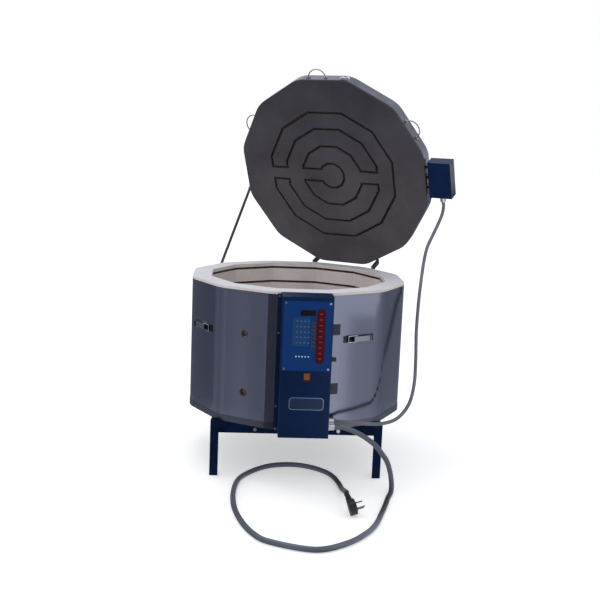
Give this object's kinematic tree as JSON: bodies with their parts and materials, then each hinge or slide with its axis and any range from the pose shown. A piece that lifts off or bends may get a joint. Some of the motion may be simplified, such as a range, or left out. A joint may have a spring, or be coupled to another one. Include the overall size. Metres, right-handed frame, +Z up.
{
  "type": "glass kiln",
  "caption": "Twelve-sided top-loading electric kiln on an angle-iron stand, with a hinged coil-heated lid held open by a brace, a control box and a power cord.",
  "frame": {"origin": "on the floor, under the middle of the twelve-sided chamber", "axes": "+Z up; -Y towards the control box at the front; +X to the right of someone who faces the control box"},
  "size_m": [1.0873, 1.618, 1.6078],
  "materials": {
    "stand_enamel": "satin dark blue enamel",
    "zinc": "bright zinc plated",
    "pan_steel": "satin stainless",
    "firebrick": "dry insulating firebrick",
    "element_wire": "oxidised heating alloy",
    "porcelain": "unglazed porcelain",
    "jacket_steel": "mirror polished stainless",
    "box_enamel": "gloss dark blue enamel",
    "dark_steel": "darkened steel",
    "plate_enamel": "satin blue enamel",
    "display": "tinted window",
    "keys": "printed key membrane",
    "board": "circuit board laminate",
    "black_plastic": "moulded black nylon",
    "orange_plastic": "moulded orange rocker",
    "relay_plastic": "moulded relay case",
    "transformer_iron": "lacquered laminations",
    "latch_steel": "plated pressed steel",
    "cable_rubber": "grey rubber sheath",
    "cord_rubber": "dark grey rubber sheath",
    "prong_brass": "bright brass"
  },
  "bodies": {
    "kiln": {"leg_front_left": "stand_enamel", "leg_front_right": "stand_enamel", "leg_back_left": "stand_enamel", "leg_back_right": "stand_enamel", "stand_rails": "stand_enamel", "cross_bars": "stand_enamel", "stand_bolts": "zinc", "base_pan": "pan_steel", "floor_slab": "firebrick", "brick_row_lower": "firebrick", "brick_row_upper": "firebrick", "elements_lower": "element_wire", "elements_upper": "element_wire", "element_bushings": "porcelain", "thermocouple": "porcelain", "jacket": "jacket_steel", "control_box": "box_enamel", "box_screws": "zinc", "box_hinges": "dark_steel", "controller_plate": "plate_enamel", "plate_screws": "zinc", "display_window": "display", "keypad": "keys", "controller_board": "board", "rocker_bezel": "black_plastic", "fuse_holder": "black_plastic", "cord_connectors": "zinc", "relays": "relay_plastic", "transformer": "transformer_iron", "hinge_plate": "dark_steel", "hinge_rod": "zinc", "brace_post": "dark_steel", "latch_right_plates": "dark_steel", "latch_left_plates": "dark_steel", "lid_cable": "cable_rubber", "power_cord": "cord_rubber", "plug_body": "cord_rubber", "plug_prongs": "prong_brass"},
    "lid": {"lid_slab": "firebrick", "lid_band": "jacket_steel", "lid_band_clamp": "zinc", "lid_element": "element_wire", "handle_front": "dark_steel", "handle_left": "dark_steel", "handle_right": "dark_steel", "junction_box": "box_enamel", "junction_cover": "box_enamel", "junction_standoffs": "dark_steel", "junction_connector": "zinc", "hinge_arms": "dark_steel", "brace_pivot_bolt": "zinc"},
    "brace_bar": {"brace_arm": "dark_steel"},
    "brace_block": {"brace_guide": "dark_steel"},
    "thumb_screw": {"brace_screw": "black_plastic"},
    "right_lever": {"latch_right_lever": "latch_steel"},
    "right_loop": {"latch_right_loop": "zinc"},
    "left_lever": {"latch_left_lever": "latch_steel"},
    "left_loop": {"latch_left_loop": "zinc"},
    "rocker_key": {"rocker": "orange_plastic"},
    "fuse_lid": {"fuse_cap": "black_plastic"}
  },
  "joints": [
    {"name": "lid_hinge", "type": "hinge", "parent": "kiln", "child": "lid", "pos_m": [0.22285, 0.38599, 0.7436], "axis": [-0.866, 0.5, 0], "range_deg": [-68, 0], "deforming": ["lid_cable"]},
    {"name": "brace_turn", "type": "hinge", "parent": "lid", "child": "brace_bar", "pos_m": [-0.20559, 0.5339, 1.0809], "axis": [-0.866, 0.5, 0], "range_deg": [0, 34]},
    {"name": "guide_turn", "type": "hinge", "parent": "kiln", "child": "brace_block", "pos_m": [-0.33615, 0.30778, 0.71871], "axis": [-0.866, 0.5, 0], "range_deg": [-34, 0]},
    {"name": "brace_screw_turn", "type": "hinge", "parent": "brace_block", "child": "thumb_screw", "pos_m": [-0.33615, 0.30778, 0.71871], "axis": [-0.866, 0.5, 0], "range_deg": [0, 120]},
    {"name": "latch_right_open", "type": "hinge", "parent": "kiln", "child": "right_lever", "pos_m": [0.20303, -0.39166, 0.576], "axis": [0, 0, -1], "range_deg": [0, 95]},
    {"name": "latch_right_loop_turn", "type": "hinge", "parent": "right_lever", "child": "right_loop", "pos_m": [0.21429, -0.38516, 0.576], "axis": [0, 0, -1], "range_deg": [-95, 0]},
    {"name": "latch_left_open", "type": "hinge", "parent": "kiln", "child": "left_lever", "pos_m": [-0.37166, -0.23767, 0.576], "axis": [0, 0, 1], "range_deg": [0, 95]},
    {"name": "latch_left_loop_turn", "type": "hinge", "parent": "left_lever", "child": "left_loop", "pos_m": [-0.37816, -0.22641, 0.576], "axis": [0, 0, 1], "range_deg": [-95, 0]},
    {"name": "rocker_tilt", "type": "hinge", "parent": "kiln", "child": "rocker_key", "pos_m": [0.017, -0.528, 0.4576], "axis": [1, 0, 0], "range_deg": [0, 16]},
    {"name": "fuse_cap_turn", "type": "hinge", "parent": "kiln", "child": "fuse_lid", "pos_m": [0.1133, -0.496, 0.5186], "axis": [1, 0, 0], "range_deg": [0, 90]}
  ],
  "couplings": [
    {"joint": "brace_turn", "follows": "lid_hinge", "ratio": -0.5},
    {"joint": "guide_turn", "follows": "lid_hinge", "ratio": 0.5},
    {"joint": "latch_right_loop_turn", "follows": "latch_right_open", "ratio": -1},
    {"joint": "latch_left_loop_turn", "follows": "latch_left_open", "ratio": -1}
  ]
}
